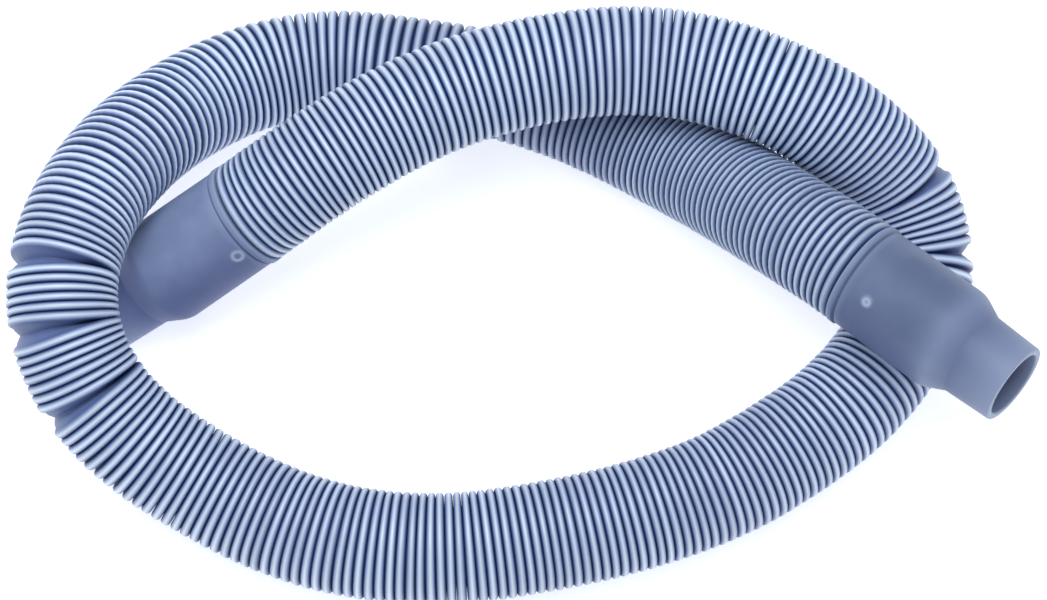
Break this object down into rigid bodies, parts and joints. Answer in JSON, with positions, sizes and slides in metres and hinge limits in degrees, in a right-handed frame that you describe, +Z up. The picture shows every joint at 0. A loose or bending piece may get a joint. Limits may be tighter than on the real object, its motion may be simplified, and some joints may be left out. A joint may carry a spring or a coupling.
{
  "type": "drain hose",
  "caption": "Corrugated drain hose pushed short and laid in a loose overhand knot, with a stepped push-on cuff moulded on each end.",
  "frame": {"origin": "middle of the hose's footprint, on the table that it lies on", "axes": "+X towards the right cuff along the knot's long way, -Y towards the viewer, +Z up from the table"},
  "size_m": [0.273, 0.1736, 0.0628],
  "materials": {
    "hose_plastic": "thin grey-blue plastic film, semi-gloss, with paler worn crests",
    "cuff_plastic": "soft moulded grey-blue plastic, matte"
  },
  "bodies": {
    "root": {"bellows_hose": "hose_plastic", "left_cuff": "cuff_plastic", "right_cuff": "cuff_plastic"}
  },
  "joints": []
}
